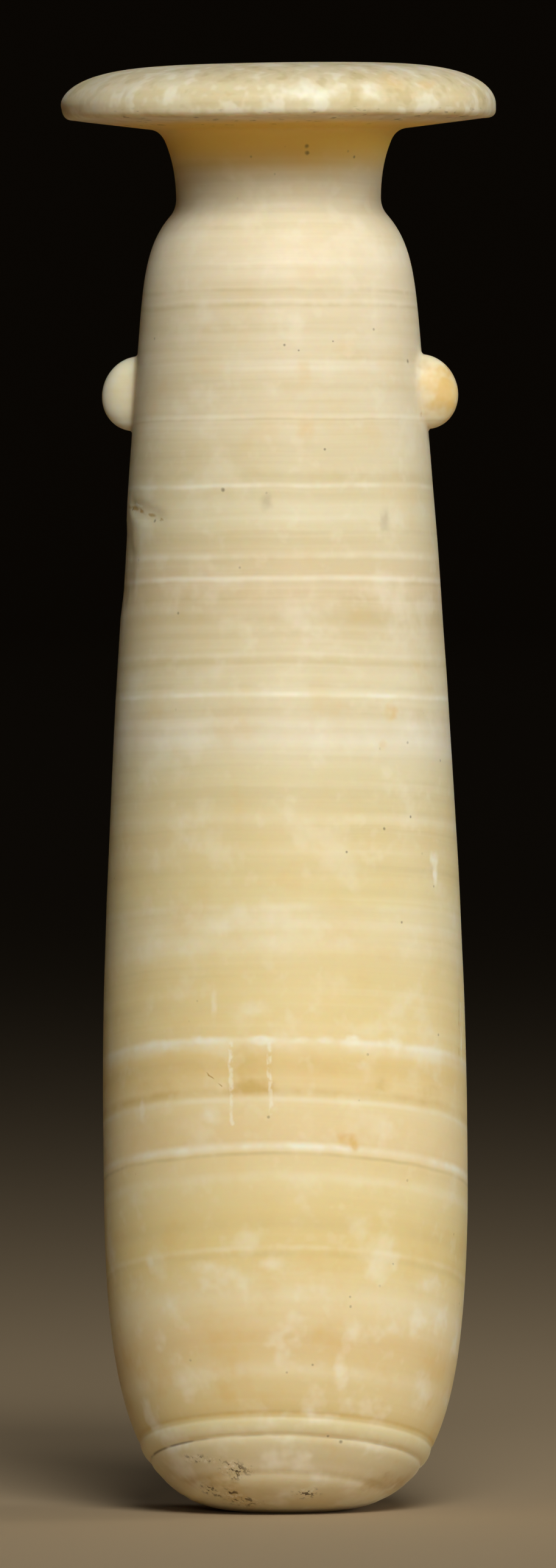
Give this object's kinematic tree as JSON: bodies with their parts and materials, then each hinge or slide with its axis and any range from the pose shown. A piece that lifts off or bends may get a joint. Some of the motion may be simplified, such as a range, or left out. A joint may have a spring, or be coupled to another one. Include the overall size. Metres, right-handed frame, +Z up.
{
  "type": "alabastron",
  "caption": "Tall banded-stone oil flask with a wide flat rim, short neck, long body fullest low down, small solid lug handles and a rounded base worn flat in the middle.",
  "frame": {"origin": "centre of the worn flat under the base, on the surface that the flask stands on", "axes": "+Z up along the flask's axis to the mouth, +X out through one lug (the one on the viewer's right), -Y towards the side that the picture shows"},
  "size_m": [0.078, 0.078, 0.2591],
  "materials": {
    "calcite": "polished banded calcite, cream to honey yellow, slightly translucent"
  },
  "bodies": {
    "root": {"vessel": "calcite"}
  },
  "joints": []
}
